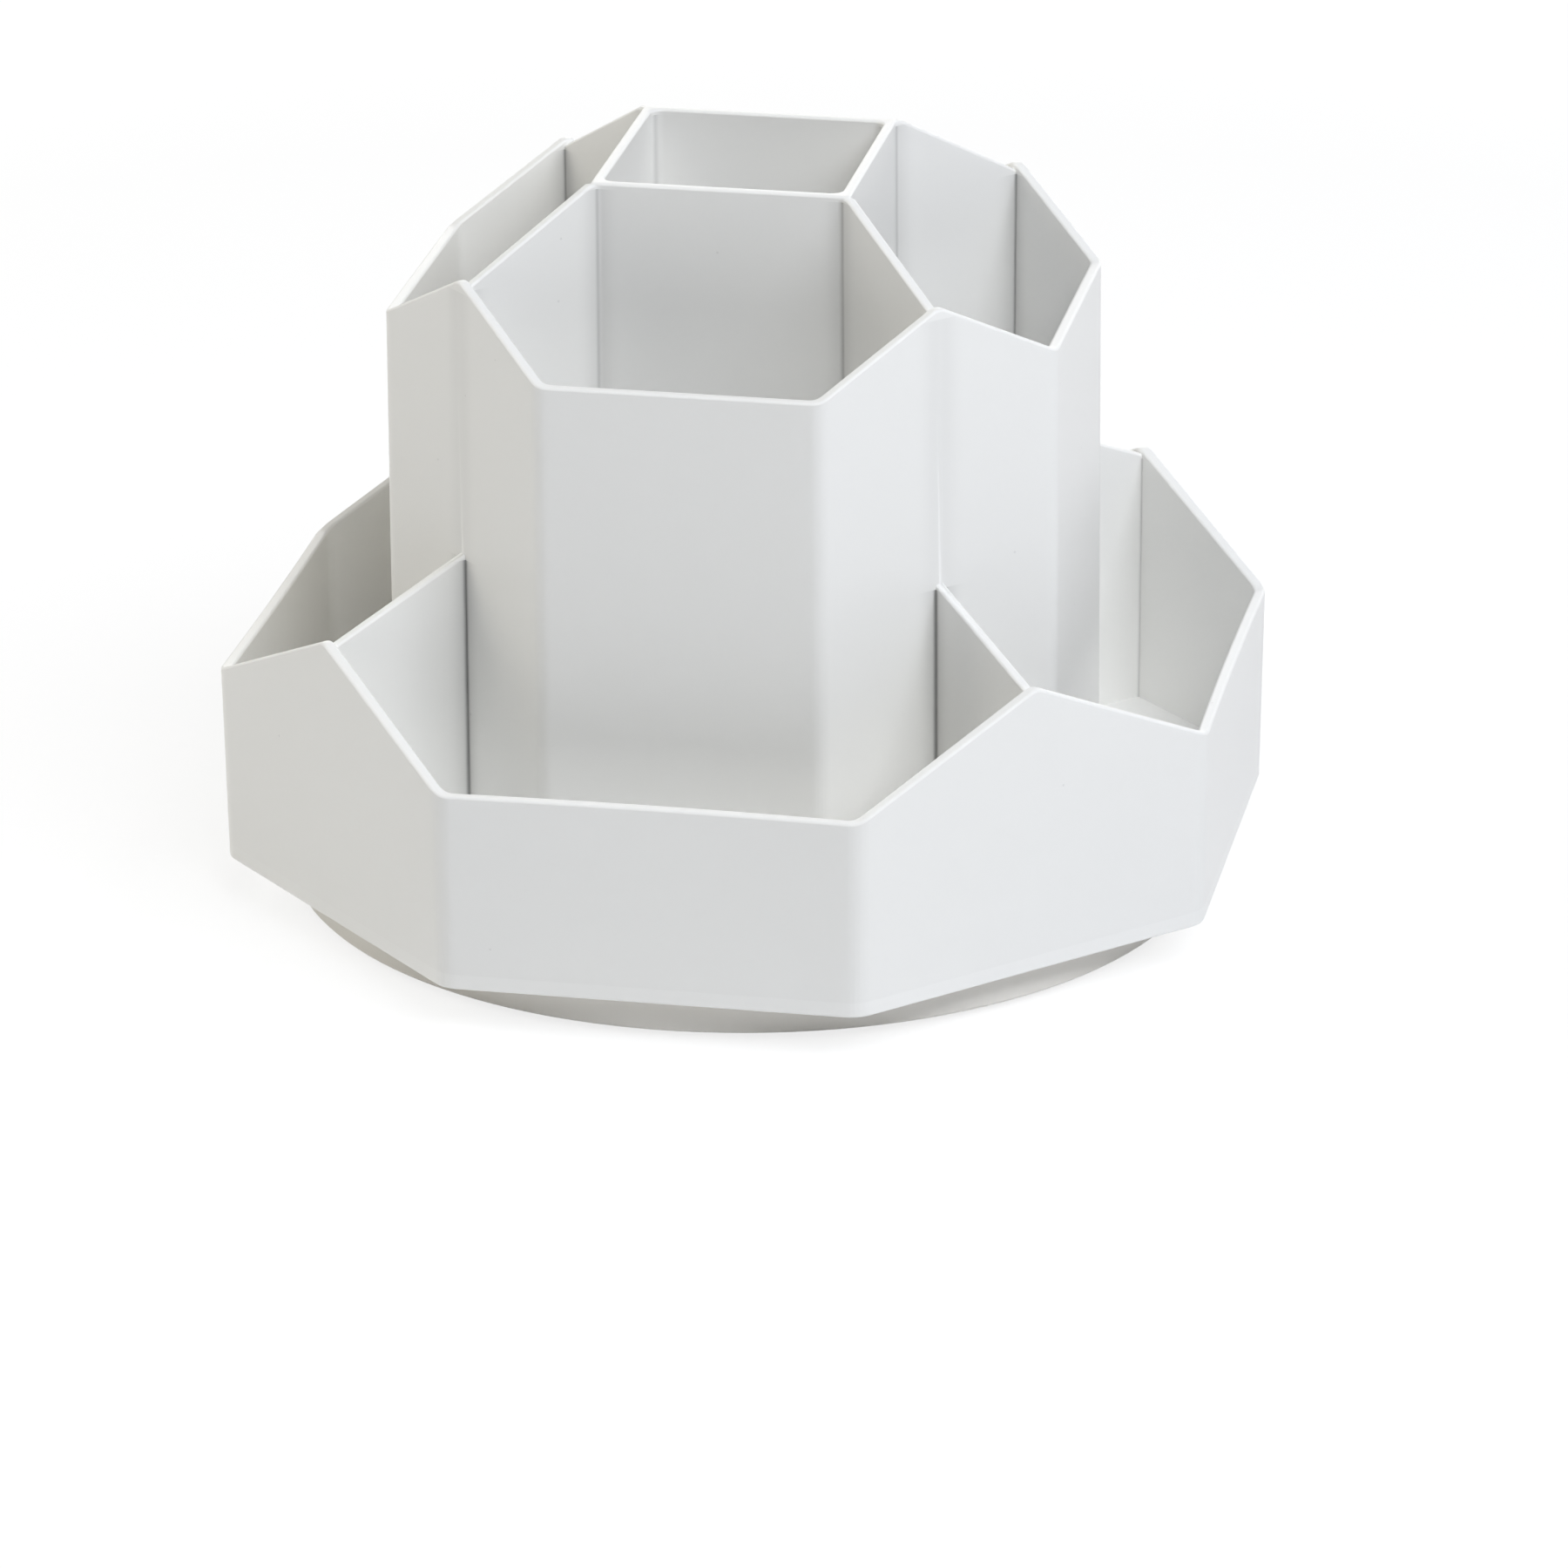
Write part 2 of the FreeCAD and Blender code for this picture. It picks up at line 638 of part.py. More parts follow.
# Base: a shallow dish upside down, with the lower half of the ball race sunk in its top
base = new_body("base_disc")
dish = new_sketch(base, "base_profile", "XZ_Plane")
draw_polygon(dish, [
    ("Places.socket_bore", "Places.socket_under"),
    ("Places.socket_bore", "Sizes.base_height"),
    ("Places.channel_in", "Sizes.base_height"),
    ("Places.channel_in", "Places.channel_top"),
    ("Places.channel_out", "Places.channel_top"),
    ("Places.channel_out", "Sizes.base_height"),
    ("Places.base_half - Places.base_lean", "Sizes.base_height"),
    ("Places.base_half", "0"),
    ("Places.base_inner", "0"),
    ("Places.base_inner - Places.base_plate_lean", "Places.base_plate_under"),
    ("Places.channel_out + Sizes.channel_wall", "Places.base_plate_under"),
    ("Places.channel_out + Sizes.channel_wall", "Places.channel_under"),
    ("Places.channel_in - Sizes.channel_wall", "Places.channel_under"),
    ("Places.channel_in - Sizes.channel_wall", "Places.base_plate_under"),
    ("Places.socket_out", "Places.base_plate_under"),
    ("Places.socket_out", "Places.socket_under"),
])
turn_profile(base, "Revolution", "base_dish", dish)
track = new_sketch(base, "base_groove_profile", "XZ_Plane")
draw_circle(track, "Places.race_radius", "Places.ball_height", "Places.groove_radius")
turn_profile(base, "Groove", "base_groove", track)
bevel_edges(base, "base_top_edge",
            lambda edge: lies_at(edge, "Sizes.base_height")
            and reach(edge) > value_of("Places.channel_out + Sizes.channel_wall"),
            "Sizes.base_top_bevel")
bevel_edges(base, "base_lower_edge",
            lambda edge: lies_at(edge, "0")
            and reach(edge) > value_of("Places.base_inner + Sizes.base_band_wall / 2"),
            "Sizes.base_edge_bevel")

# Ribs under the plate, from the channel to the band and from the socket to the channel
outer_rib = new_sketch(base, "outer_rib_profile", height="Sizes.base_rib_lift")
draw_rectangle(outer_rib, "Places.channel_out + Sizes.channel_wall / 2",
               "Places.base_inner + Sizes.base_band_wall / 3 - Places.base_plate_lean",
               "-Sizes.base_rib_wall / 2", "Sizes.base_rib_wall / 2")
ribs = add_feature(base, "Pad", "outer_rib", outer_rib,
                   "Sizes.base_height - Sizes.base_plate / 2 - Sizes.base_rib_lift")
repeat_round(base, ribs, "outer_ribs", "Sizes.base_rib_count")
inner_rib = new_sketch(base, "inner_rib_profile", height="Places.socket_under")
draw_rectangle(inner_rib, "Places.socket_out - Sizes.hub_socket_wall / 2",
               "Places.channel_in - Sizes.channel_wall / 2",
               "-Sizes.base_rib_wall / 2", "Sizes.base_rib_wall / 2")
spokes = add_feature(base, "Pad", "inner_rib", inner_rib,
                     "Sizes.base_height - Sizes.base_plate / 2 - Places.socket_under")
repeat_round(base, spokes, "inner_ribs", "Sizes.base_rib_count")

# Bosses for the foot pads, each with a shallow recess
boss = new_sketch(base, "foot_boss_profile")
draw_circle(boss, "Places.foot_place", "Places.foot_place", "Places.foot_boss")
bosses = add_feature(base, "Pad", "foot_boss", boss, "Sizes.base_height - Sizes.base_plate / 2")
repeat_round(base, bosses, "foot_bosses", "Sizes.foot_count")
recess = new_sketch(base, "foot_recess_profile")
draw_circle(recess, "Places.foot_place", "Places.foot_place", "Places.foot_recess")
recesses = add_feature(base, "Pocket", "foot_recess", recess, "Sizes.foot_recess_depth")
repeat_round(base, recesses, "foot_recesses", "Sizes.foot_count")
base.setExpression("Placement.Base.z", "Places.base_lift")

# Ball cage: a flat ring with a snap pocket round each ball
cage = new_body("ball_cage")
band = new_sketch(cage, "cage_profile", "XZ_Plane")
draw_rectangle(band, "Places.channel_in + Sizes.cage_side_gap", "Places.channel_out - Sizes.cage_side_gap",
               "-Sizes.cage_thickness / 2", "Sizes.cage_thickness / 2")
turn_profile(cage, "Revolution", "cage_ring", band)
pocket = cage.newObject("PartDesign::SubtractiveSphere", "cage_pocket")
pocket.AttachmentSupport = [(origin_feature(cage, "XY_Plane"), "")]
pocket.MapMode = "FlatFace"
pocket.setExpression("AttachmentOffset.Base.x", "Places.race_radius")
pocket.setExpression("Radius", "Places.ball_radius + Sizes.cage_pocket_gap")
doc.recompute()
repeat_round(cage, pocket, "cage_pockets", "Sizes.ball_count")
cage.setExpression("Placement.Base.z", "Places.ball_plane")

# Balls, evenly spaced in the cage
balls = []
ball_total = int(value_of("Sizes.ball_count"))
for number in range(ball_total):
    turn = "%d * 360 / Sizes.ball_count" % number
    ball = doc.addObject("Part::Sphere", "bearing_ball_%02d" % (number + 1))
    ball.Label = ball.Name
    ball.setExpression("Radius", "Places.ball_radius")
    ball.setExpression("Placement.Base.x", "Places.race_radius * cos(%s)" % turn)
    ball.setExpression("Placement.Base.y", "Places.race_radius * sin(%s)" % turn)
    ball.setExpression("Placement.Base.z", "Places.ball_plane")
    balls.append(ball)

# Washer, held against the hub by the screw
washer = new_body("pivot_washer")
rim = new_sketch(washer, "washer_profile", "XZ_Plane")
draw_rectangle(rim, "Sizes.screw_across / 2 + Sizes.washer_bore_gap", "Sizes.washer_across / 2",
               "0", "Sizes.washer_thickness")
turn_profile(washer, "Revolution", "washer_ring", rim)
washer.setExpression("Placement.Base.z", "Places.washer_low")

# Screw: a pan head below the washer, a cross recess in it and a shank with a blunt point
screw = new_body("pivot_screw")
shaft = new_sketch(screw, "screw_profile", "XZ_Plane")
draw_polygon(shaft, [
    ("0", "-Sizes.screw_head_height"),
    ("Sizes.screw_head_across / 2", "-Sizes.screw_head_height"),
    ("Sizes.screw_head_across / 2", "0"),
    ("Sizes.screw_across / 2", "0"),
    ("Sizes.screw_across / 2", "Sizes.screw_length - Sizes.screw_tip_length"),
    ("Sizes.screw_tip_across / 2", "Sizes.screw_length"),
    ("0", "Sizes.screw_length"),
])
turn_profile(screw, "Revolution", "screw_turned", shaft)
round_edges(screw, "screw_head_edge",
            lambda edge: lies_at(edge, "-Sizes.screw_head_height"),
            "Sizes.screw_head_radius")
for name, along, over in (("cross_one", "Sizes.cross_length", "Sizes.cross_width"),
                          ("cross_two", "Sizes.cross_width", "Sizes.cross_length")):
    slot = new_sketch(screw, name + "_profile", height="-Sizes.screw_head_height")
    draw_rectangle(slot, "-%s / 2" % along, "%s / 2" % along, "-%s / 2" % over, "%s / 2" % over)
    add_feature(screw, "Pocket", name, slot, "Sizes.cross_depth")
screw.setExpression("Placement.Base.z", "Places.washer_low")

# Foot pads, one in each recess
pads = []
for name, sign_x, sign_y in (("foot_pad_front_left", "-", "-"), ("foot_pad_front_right", "", "-"),
                             ("foot_pad_back_left", "-", ""), ("foot_pad_back_right", "", "")):
    pad = new_body(name)
    face = new_sketch(pad, name + "_profile")
    draw_circle(face, "0", "0", "Places.foot_radius")
    add_feature(pad, "Pad", name + "_disc", face, "Sizes.foot_thickness")
    bevel_edges(pad, name + "_edge", lambda edge: lies_at(edge, "0"), "Sizes.foot_edge_bevel")
    pad.setExpression("Placement.Base.x", sign_x + "Places.foot_place")
    pad.setExpression("Placement.Base.y", sign_y + "Places.foot_place")
    pads.append(pad)

doc.recompute()

# Every feature is checked before the parts are written
for item in doc.Objects:
    if "Invalid" in item.State or "Error" in item.State:
        raise RuntimeError("%s could not be built: %s" % (item.Name, item.State))

os.makedirs("parts", exist_ok=True)
nodes = [organizer, base, cage] + balls + [washer, screw] + pads
for node in nodes:
    shape = node.Shape
    if shape.isNull() or not shape.isValid() or len(shape.Solids) != 1:
        raise RuntimeError("%s is not one sound solid" % node.Label)
    shape.exportStep("parts/%s.step" % node.Label)
    print("%-22s %10.1f mm3 %4d faces" % (node.Label, shape.Volume, len(shape.Faces)))
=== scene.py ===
# %% [markdown]
# A rotating desk organizer in light grey plastic: an octagonal tray round an octagonal tower
# with a square cell at its middle, all one moulding, which turns on balls over a round base.
# The frame brings the imported solids, each as an object whose place is in its mesh. The box
# of the shown object is kept right away.

# %% Load the frame
import math

import bmesh
import bpy
from mathutils import Matrix, Vector


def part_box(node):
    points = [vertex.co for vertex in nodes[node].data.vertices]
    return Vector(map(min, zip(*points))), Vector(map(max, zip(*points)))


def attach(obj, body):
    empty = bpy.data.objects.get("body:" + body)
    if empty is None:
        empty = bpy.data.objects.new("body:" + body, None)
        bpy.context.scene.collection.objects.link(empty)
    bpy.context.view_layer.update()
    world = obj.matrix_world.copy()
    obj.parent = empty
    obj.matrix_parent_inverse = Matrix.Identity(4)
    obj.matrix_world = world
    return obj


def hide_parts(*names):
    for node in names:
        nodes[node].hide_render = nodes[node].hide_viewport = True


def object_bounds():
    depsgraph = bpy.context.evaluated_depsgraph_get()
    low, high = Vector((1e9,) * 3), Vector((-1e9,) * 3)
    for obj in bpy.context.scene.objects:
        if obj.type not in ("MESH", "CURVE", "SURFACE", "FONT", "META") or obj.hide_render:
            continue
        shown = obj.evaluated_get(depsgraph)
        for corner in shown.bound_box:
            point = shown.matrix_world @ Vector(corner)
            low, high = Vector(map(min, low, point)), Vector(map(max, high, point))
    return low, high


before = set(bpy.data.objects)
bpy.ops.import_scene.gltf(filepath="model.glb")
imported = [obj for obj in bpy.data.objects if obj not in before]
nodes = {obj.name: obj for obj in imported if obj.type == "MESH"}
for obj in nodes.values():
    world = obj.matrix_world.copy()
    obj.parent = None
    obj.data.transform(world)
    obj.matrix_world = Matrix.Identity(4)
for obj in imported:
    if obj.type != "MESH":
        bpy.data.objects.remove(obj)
cad_low, cad_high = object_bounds()
scene = bpy.context.scene
MM = 0.001
print("nodes:", len(nodes), "size in mm:", [round(side / MM, 1) for side in cad_high - cad_low])

# %% [markdown]
# The camera stands where the photograph's did. Its distance and focal length were worked
# out from the octagon's corners, so the straight walls converge as they do there. The lens
# is long and far away, which keeps that convergence slight. The roll is the small tilt that
# a hand-held or cropped picture has.

# %% Camera
IMAGE_PIXELS = 1800
FOCAL_PIXELS = 9590.5
SENSOR = 36.0
CAMERA_AZIMUTH = math.radians(11.147)
CAMERA_ELEVATION = math.radians(21.958)
CAMERA_ROLL = math.radians(-0.321)
CAMERA_DISTANCE = 1406.8 * MM
AIM_RIGHT = 5.752 * MM
AIM_OVER_TRAY_FOOT = 5.302 * MM
TRAY_FOOT = 7.9 * MM


def aim_camera():
    """A camera at the photograph's angle, looking at a point near the tray's foot."""
    camera_data = bpy.data.cameras.new("photo_camera")
    camera_data.sensor_width = SENSOR
    camera_data.lens = FOCAL_PIXELS / IMAGE_PIXELS * SENSOR
    camera = bpy.data.objects.new("photo_camera", camera_data)
    scene.collection.objects.link(camera)
    right = Vector((math.cos(CAMERA_AZIMUTH), math.sin(CAMERA_AZIMUTH), 0))
    back = Vector((math.sin(CAMERA_AZIMUTH) * math.cos(CAMERA_ELEVATION),
                   -math.cos(CAMERA_AZIMUTH) * math.cos(CAMERA_ELEVATION),
                   math.sin(CAMERA_ELEVATION)))
    up = back.cross(right)
    rolled_right = right * math.cos(CAMERA_ROLL) + up * math.sin(CAMERA_ROLL)
    rolled_up = up * math.cos(CAMERA_ROLL) - right * math.sin(CAMERA_ROLL)
    turn = Matrix((rolled_right, rolled_up, back)).transposed().to_4x4()
    aim = right * AIM_RIGHT + Vector((0, 0, TRAY_FOOT + AIM_OVER_TRAY_FOOT))
    camera.matrix_world = Matrix.Translation(aim + back * CAMERA_DISTANCE) @ turn
    scene.camera = camera
    return camera


camera = aim_camera()
print("lens:", round(camera.data.lens, 1), "mm, place:", [round(value, 3) for value in camera.location])

# %% [markdown]
# Both kinds of node tree, for meshes and for materials, do small sums, so a few helpers keep
# them short: they feed a socket, add a sum and start a tree with named inputs.

# %% Helpers for node trees


def feed(tree, value, socket):
    """Feeds a socket from another socket, or sets its plain value."""
    if isinstance(value, bpy.types.NodeSocket):
        tree.links.new(value, socket)
    else:
        socket.default_value = value


def sum_node(tree, operation, *values, clamp=False):
    """One step of arithmetic on sockets or plain numbers."""
    node = tree.nodes.new("ShaderNodeMath")
    node.operation = operation
    node.use_clamp = clamp
    for value, socket in zip(values, node.inputs):
        feed(tree, value, socket)
    return node.outputs[0]


def add_node(tree, kind, **inputs):
    """A node of a kind, with its inputs fed by name, underscores standing for spaces."""
    node = tree.nodes.new(kind)
    for name, value in inputs.items():
        feed(tree, value, node.inputs[name.replace("_", " ")])
    return node


def start_tree(name, kind, inputs, outputs):
    """A tree with named inputs and outputs, its input node and its output node."""
    tree = bpy.data.node_groups.new(name, kind)
    for label, socket_kind, value in inputs:
        socket = tree.interface.new_socket(label, in_out="INPUT", socket_type=socket_kind)
        if value is not None:
            socket.default_value = value
    for label, socket_kind in outputs:
        tree.interface.new_socket(label, in_out="OUTPUT", socket_type=socket_kind)
    return tree, tree.nodes.new("NodeGroupInput"), tree.nodes.new("NodeGroupOutput")


print("node helpers ready")

# %% [markdown]
# The object repeats itself across its two diagonals, where its dividers stand. One helper
# measures places from the nearest diagonal. Another makes a bell curve of a distance, which
# fades a hollow or a line of shade out without an edge.

# %% Helpers for places and soft edges
DIAGONAL_SHARE = math.cos(math.pi / 4)


def share_falloff(tree, distance, width):
    """1 at no distance, and nearly 0 at twice the width, along a bell curve."""
    scaled = sum_node(tree, "DIVIDE", distance, width)
    squared = sum_node(tree, "MULTIPLY", scaled, scaled)
    return sum_node(tree, "EXPONENT", sum_node(tree, "MULTIPLY", squared, -1.0))


def diagonal_places(tree, x, y):
    """How far a point is off the nearest diagonal of the plan, and how far out along it."""
    one = sum_node(tree, "ABSOLUTE", sum_node(tree, "ADD", x, y))
    other = sum_node(tree, "ABSOLUTE", sum_node(tree, "SUBTRACT", x, y))
    one = sum_node(tree, "MULTIPLY", one, DIAGONAL_SHARE)
    other = sum_node(tree, "MULTIPLY", other, DIAGONAL_SHARE)
    return sum_node(tree, "MINIMUM", one, other), sum_node(tree, "MAXIMUM", one, other)


print("diagonal share:", round(DIAGONAL_SHARE, 4))

# %% [markdown]
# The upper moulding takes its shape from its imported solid. A real moulding isn't quite that
# true. Its long straight walls draw in a little at the rim as they cool, and the outside
# shows faint hollows, sink marks, where a divider or the floor joins the wall behind. These
# could be sculpted by hand, but they follow rules, so a Geometry Nodes tree makes them from
# a few sizes. First come those sizes.

# %% Sizes of the moulding
TRAY_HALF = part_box("organizer_body")[1].x
TRAY_WALL = 1.9 * MM
TRAY_RIM = TRAY_FOOT + 33.5 * MM
TRAY_FLOOR = TRAY_FOOT + 3.5 * MM
FLOOR_THICKNESS = 1.8 * MM
TOWER_HALF = 55.6 * MM
CORNER_SHARE = math.tan(math.pi / 8)
print("tray half width:", round(TRAY_HALF / MM, 1), "rim at", round(TRAY_RIM / MM, 1))

# %% [markdown]
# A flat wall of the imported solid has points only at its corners, so nothing in its middle
# could move. A subdivision would cut the whole mesh evenly and make it heavy. Cutting a copy
# along a few planes puts points just where the hollows and the bow need them.

# %% Copy of the moulding with cuts across its flat walls
MERGE_DISTANCE = 0.001 * MM
CUT_TOLERANCE = 0.0001 * MM
SINK_STEPS = (0, 0.7, 1.4, 2.2, 3.4)
BOW_PARTS = 8
BOW_HEIGHT_SHARES = (0.4, 0.7, 0.9)


def merged_copy(node):
    """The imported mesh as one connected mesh, ready to edit."""
    body = bmesh.new()
    body.from_mesh(node.data)
    bmesh.ops.remove_doubles(body, verts=body.verts, dist=MERGE_DISTANCE)
    return body


def cut_across(body, normal, distances):
    """Cuts every face along the planes square to a direction."""
    for distance in distances:
        everything = body.verts[:] + body.edges[:] + body.faces[:]
        bmesh.ops.bisect_plane(body, geom=everything, dist=CUT_TOLERANCE,
                               plane_co=Vector(normal) * distance, plane_no=normal)


def both_sides(steps):
    """Each step to both sides of zero, once each."""
    return sorted({sign * step * MM for step in steps for sign in (-1, 1)})


moulding_mesh = merged_copy(nodes["organizer_body"])
for diagonal in ((DIAGONAL_SHARE, DIAGONAL_SHARE, 0), (DIAGONAL_SHARE, -DIAGONAL_SHARE, 0)):
    cut_across(moulding_mesh, diagonal, both_sides(SINK_STEPS))
wall_end = TRAY_HALF * CORNER_SHARE
bow_places = [wall_end * (2 * part / BOW_PARTS - 1) for part in range(1, BOW_PARTS)]
for axis in ((1, 0, 0), (0, 1, 0)):
    cut_across(moulding_mesh, axis, bow_places)
floor_middle = TRAY_FLOOR - FLOOR_THICKNESS / 2
cut_across(moulding_mesh, (0, 0, 1), [floor_middle + step for step in both_sides(SINK_STEPS)])
wall_height = TRAY_RIM - TRAY_FLOOR
cut_across(moulding_mesh, (0, 0, 1), [TRAY_FLOOR + wall_height * share for share in BOW_HEIGHT_SHARES])
print("faces after the cuts:", len(moulding_mesh.faces))

# %% [markdown]
# A sink mark is a hollow in the outer face, opposite a divider or the floor, where the thicker
# plastic shrinks more. It is a few hundredths of a millimetre deep along a bell curve, and only
# shows as a soft line of light. The helper finds the outer faces of the tray and the tower by
# how far out they are, and gives each point's move towards the middle as a share of its reach.

# %% Rule for the sink marks


def outer_sinks(tree, get, x, y, z):
    """How far the outer face goes in, opposite the dividers and the floor."""
    half_wall = sum_node(tree, "MULTIPLY", get["Wall"], 0.5)
    aside, out = diagonal_places(tree, x, y)
    square_out = sum_node(tree, "MAXIMUM", sum_node(tree, "ABSOLUTE", x), sum_node(tree, "ABSOLUTE", y))
    eight_out = sum_node(tree, "MAXIMUM", square_out, out)
    inside_tray = sum_node(tree, "SUBTRACT", get["Tray Half"], half_wall)
    tray_face = sum_node(tree, "GREATER_THAN", eight_out, inside_tray)
    off_tower = sum_node(tree, "ABSOLUTE", sum_node(tree, "SUBTRACT", eight_out, get["Tower Half"]))
    tower_face = sum_node(tree, "LESS_THAN", off_tower, half_wall)
    upright_sink = share_falloff(tree, aside, get["Sink Width"])
    half_floor = sum_node(tree, "MULTIPLY", get["Floor Thickness"], 0.5)
    off_floor = sum_node(tree, "SUBTRACT", z, sum_node(tree, "SUBTRACT", get["Floor Height"], half_floor))
    floor_sink = share_falloff(tree, off_floor, get["Sink Width"])
    tray_sink = sum_node(tree, "MULTIPLY", tray_face, sum_node(tree, "MAXIMUM", upright_sink, floor_sink))
    tower_sink = sum_node(tree, "MULTIPLY", tower_face, upright_sink)
    return sum_node(tree, "MULTIPLY", sum_node(tree, "MAXIMUM", tray_sink, tower_sink), get["Sink Depth"])


def sink_share(tree, get, x, y, z):
    """A point's move towards the middle, as a share of how far out it is."""
    squares = [sum_node(tree, "MULTIPLY", side, side) for side in (x, y)]
    reach = sum_node(tree, "SQRT", sum_node(tree, "ADD", *squares))
    return sum_node(tree, "DIVIDE", outer_sinks(tree, get, x, y, z),
                    sum_node(tree, "MAXIMUM", reach, get["Wall"]))


print("sink rule ready")

# %% [markdown]
# The front wall of the tray bows in by most of a millimetre at its rim, as the photograph
# shows, and the walls at the sides and the back by less. The bow is greatest at mid length,
# falls off as a parabola towards the corners, and grows evenly from the floor to the rim.

# %% Rule for the walls' bow
BOW_WALL_SHARE = 1.5


def height_share(tree, get, z):
    """0 at the tray's floor and 1 at its rim."""
    over_floor = sum_node(tree, "SUBTRACT", z, get["Floor Height"])
    rim_over_floor = sum_node(tree, "SUBTRACT", get["Rim Height"], get["Floor Height"])
    return sum_node(tree, "DIVIDE", over_floor, rim_over_floor, clamp=True)


def wall_bow(tree, get, across, along, up_share, front_share):
    """The move across a pair of straight walls, one of which may be the front one."""
    corner_reach = sum_node(tree, "MULTIPLY", get["Tray Half"], CORNER_SHARE)
    wall_depth = sum_node(tree, "MULTIPLY", get["Wall"], BOW_WALL_SHARE)
    wall_start = sum_node(tree, "SUBTRACT", get["Tray Half"], wall_depth)
    more_in_front = sum_node(tree, "SUBTRACT", get["Front Bow"], get["Side Bow"])
    part = sum_node(tree, "DIVIDE", along, corner_reach)
    middle_share = sum_node(tree, "SUBTRACT", 1.0, sum_node(tree, "MULTIPLY", part, part), clamp=True)
    in_wall = sum_node(tree, "GREATER_THAN", sum_node(tree, "ABSOLUTE", across), wall_start)
    is_front = sum_node(tree, "MULTIPLY", sum_node(tree, "LESS_THAN", across, 0.0), front_share)
    depth = sum_node(tree, "ADD", get["Side Bow"], sum_node(tree, "MULTIPLY", is_front, more_in_front))
    amount = sum_node(tree, "MULTIPLY", depth, in_wall)
    for share in (middle_share, up_share, sum_node(tree, "SIGN", across)):
        amount = sum_node(tree, "MULTIPLY", amount, share)
    return sum_node(tree, "MULTIPLY", amount, -1.0)


print("bow rule ready")

# %% [markdown]
# The tree puts the two rules together as one move for each point, with the sizes as named
# inputs, so that another moulding could use it with other sizes. It ends by making any
# instances real and setting the material, which the model's export needs.

# %% Tree that gives a moulding its sinks and its bow


def mould_warp_tree():
    """Geometry Nodes: hollows opposite the dividers and the floor, and walls that bow in."""
    tree, given, result = start_tree("mould_warp", "GeometryNodeTree", [
        ("Geometry", "NodeSocketGeometry", None),
        ("Tray Half", "NodeSocketFloat", TRAY_HALF),
        ("Tower Half", "NodeSocketFloat", TOWER_HALF),
        ("Wall", "NodeSocketFloat", TRAY_WALL),
        ("Floor Height", "NodeSocketFloat", TRAY_FLOOR),
        ("Floor Thickness", "NodeSocketFloat", FLOOR_THICKNESS),
        ("Rim Height", "NodeSocketFloat", TRAY_RIM),
        ("Sink Depth", "NodeSocketFloat", 0.03 * MM),
        ("Sink Width", "NodeSocketFloat", 1.2 * MM),
        ("Front Bow", "NodeSocketFloat", 0.8 * MM),
        ("Side Bow", "NodeSocketFloat", 0.3 * MM),
        ("Material", "NodeSocketMaterial", None),
    ], [("Geometry", "NodeSocketGeometry")])
    get = given.outputs
    place = tree.nodes.new("GeometryNodeInputPosition").outputs[0]
    x, y, z = add_node(tree, "ShaderNodeSeparateXYZ", Vector=place).outputs
    up_share = height_share(tree, get, z)
    bow_x = wall_bow(tree, get, x, y, up_share, 0.0)
    bow_y = wall_bow(tree, get, y, x, up_share, 1.0)
    sink = sink_share(tree, get, x, y, z)
    move_x = sum_node(tree, "SUBTRACT", bow_x, sum_node(tree, "MULTIPLY", x, sink))
    move_y = sum_node(tree, "SUBTRACT", bow_y, sum_node(tree, "MULTIPLY", y, sink))
    offset = add_node(tree, "ShaderNodeCombineXYZ", X=move_x, Y=move_y)
    moved = add_node(tree, "GeometryNodeSetPosition", Geometry=get["Geometry"], Offset=offset.outputs[0])
    real = add_node(tree, "GeometryNodeRealizeInstances", Geometry=moved.outputs[0])
    painted = add_node(tree, "GeometryNodeSetMaterial", Geometry=real.outputs[0], Material=get["Material"])
    tree.links.new(painted.outputs[0], result.inputs[0])
    return tree


mould_warp = mould_warp_tree()
print("warp tree nodes:", len(mould_warp.nodes))

# %% [markdown]
# A modifier's inputs are set by each socket's identifier, before anything evaluates it. The
# evaluated result then becomes a plain mesh, and the modifier goes. Smooth shading keeps the
# edges sharp that are sharper than the small steps of a rounded rim.

# %% Helpers that turn a tree into a plain piece
SHARP_ANGLE = math.radians(24)


def set_inputs(modifier, values):
    """Sets a Geometry Nodes modifier's inputs by their labels."""
    for item in modifier.node_group.interface.items_tree:
        if item.item_type == "SOCKET" and item.in_out == "INPUT" and item.name in values:
            modifier[item.identifier] = values[item.name]


def new_piece(name, mesh):
    """An object at the origin that shows a mesh."""
    piece = bpy.data.objects.new(name, mesh)
    scene.collection.objects.link(piece)
    return piece


def grow(piece, tree, values):
    """Runs a tree on a piece, and leaves the result as its plain mesh."""
    modifier = piece.modifiers.new(tree.name, "NODES")
    modifier.node_group = tree
    set_inputs(modifier, values)
    evaluated = piece.evaluated_get(bpy.context.evaluated_depsgraph_get())
    mesh = bpy.data.meshes.new_from_object(evaluated)
    piece.modifiers.clear()
    piece.data = mesh


def smooth_faces(piece):
    """Smooth shading that keeps flat faces flat and sharp edges sharp."""
    for face in piece.data.polygons:
        face.use_smooth = True
    piece.data.set_sharp_from_angle(angle=SHARP_ANGLE)
    weigh = piece.modifiers.new("weigh_normals", "WEIGHTED_NORMAL")
    weigh.keep_sharp = True


print("ready to grow pieces, sharp from", round(math.degrees(SHARP_ANGLE)), "degrees")

# %% [markdown]
# Every finish here starts from the same thing: a surface that looks even from a step away
# but isn't quite. Moulded plastic and plated metal differ a little in tone and gloss from
# place to place, and carry a few fine specks. One shader group gives these as a tone, a
# roughness and a height, on Object coordinates, so that the pattern stays on the piece. The
# specks sit in the cells of a Voronoi texture, in fewer than one in five of them.

